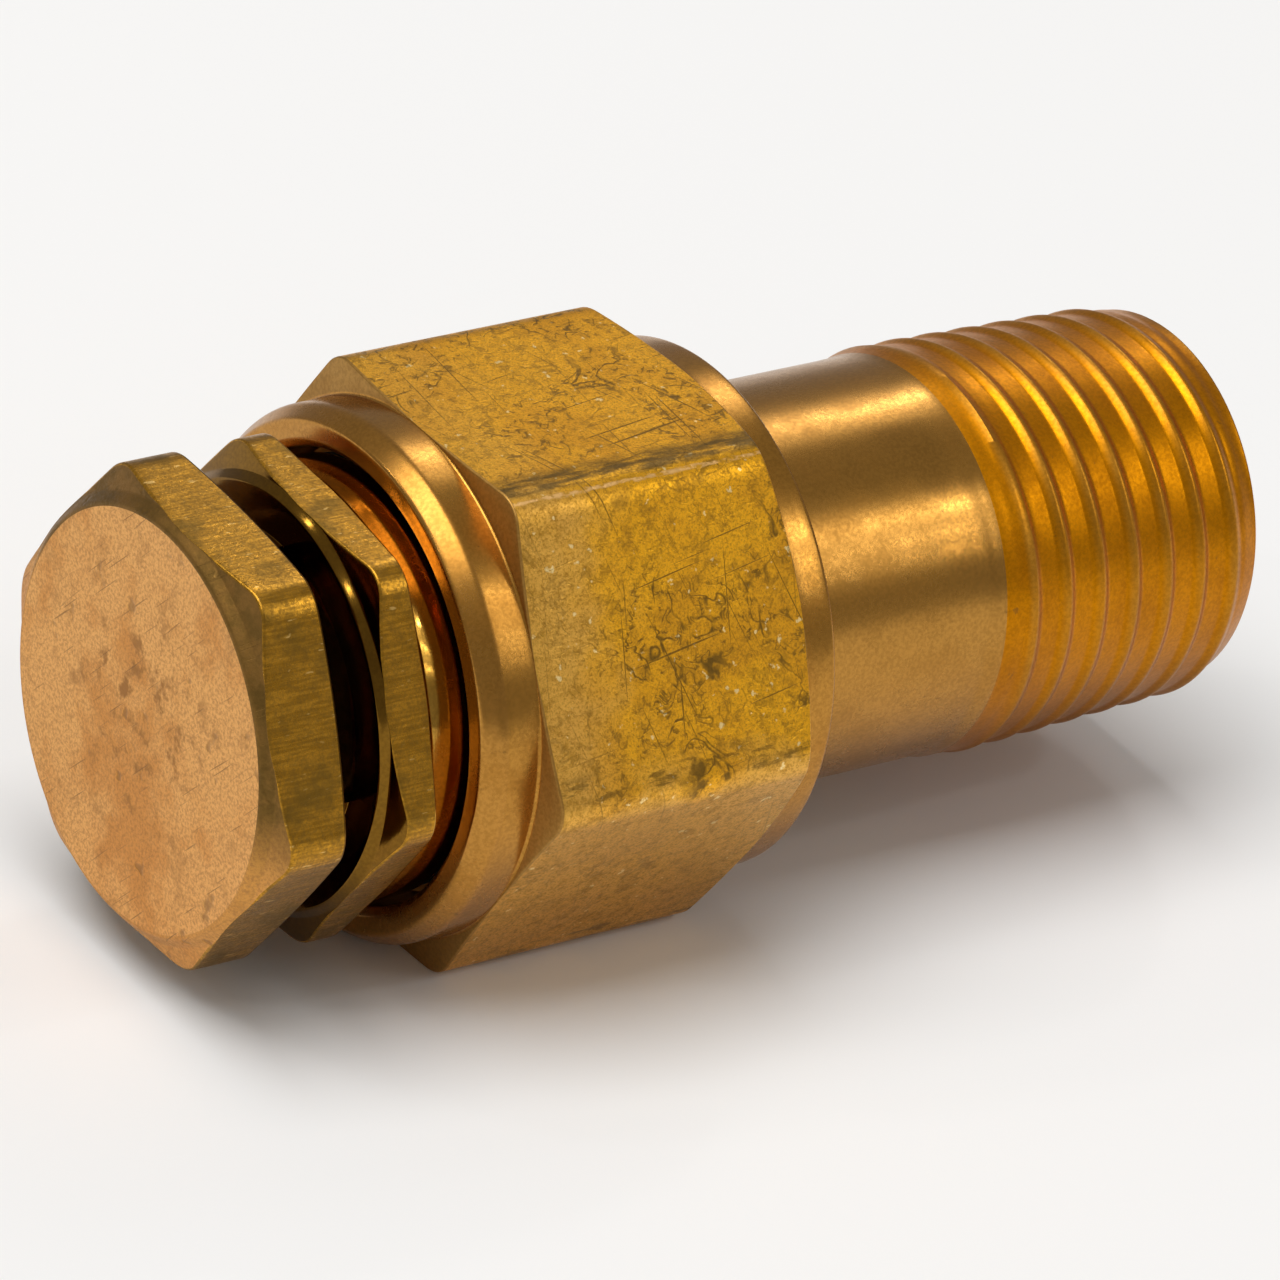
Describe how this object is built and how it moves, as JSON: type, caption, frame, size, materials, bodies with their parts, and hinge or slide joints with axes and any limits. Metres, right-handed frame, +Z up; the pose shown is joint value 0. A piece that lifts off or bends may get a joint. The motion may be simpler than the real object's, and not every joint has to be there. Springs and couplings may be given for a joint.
{
  "type": "automatic air vent",
  "caption": "Brass automatic air vent: hex body with a tapered pipe thread, screwed-in hex vent head, swelling fibre disc pack and sprung check plunger.",
  "frame": {"origin": "centre of the part's outline, on the ground under the body's lower wrench flat", "axes": "+X along the vent's axis towards the pipe thread, -X towards the cap, +Z up through a wrench flat, +Y across the body's corners"},
  "size_m": [0.0396, 0.0198, 0.0175],
  "materials": {
    "body_brass": "drawn hex bar with turned ends, lightly scratched",
    "head_brass": "milled and turned, tarnished on the cap face",
    "inner_brass": "turned and clean",
    "spring_steel": "drawn and bright",
    "black_rubber": "moulded and matte",
    "vulcanised_fibre": "pressed sheet, matte"
  },
  "bodies": {
    "body": {"valve_body": "body_brass", "return_spring": "spring_steel", "spring_cage": "inner_brass", "cage_snap_ring": "spring_steel"},
    "disc_pack": {"front_washer": "inner_brass", "fibre_disc_1": "vulcanised_fibre", "fibre_disc_2": "vulcanised_fibre", "fibre_disc_3": "vulcanised_fibre", "fibre_disc_4": "vulcanised_fibre", "fibre_disc_5": "vulcanised_fibre", "fibre_disc_6": "vulcanised_fibre", "fibre_disc_7": "vulcanised_fibre", "fibre_disc_8": "vulcanised_fibre", "pack_spring_washer": "spring_steel", "rear_washer": "inner_brass"},
    "head": {"vent_head": "head_brass", "head_o_ring": "black_rubber", "pack_circlip": "spring_steel"},
    "plunger": {"check_plunger": "inner_brass", "plunger_seal": "black_rubber"}
  },
  "joints": [
    {"name": "pack_travel", "type": "slide", "parent": "body", "child": "disc_pack", "axis": [-1, 0, 0], "range_m": [0, 0.0015]},
    {"name": "head_turn", "type": "hinge", "parent": "disc_pack", "child": "head", "pos_m": [-0.0125, 0, 0.00873], "axis": [-1, 0, 0], "range_deg": [0, 540]},
    {"name": "plunger_travel", "type": "slide", "parent": "body", "child": "plunger", "axis": [-1, 0, 0], "range_m": [0, 0.0015]}
  ],
  "couplings": [
    {"joint": "pack_travel", "follows": "head_turn", "m_per_rad": 0.00015915},
    {"joint": "plunger_travel", "follows": "head_turn", "m_per_rad": 0.00015915}
  ]
}
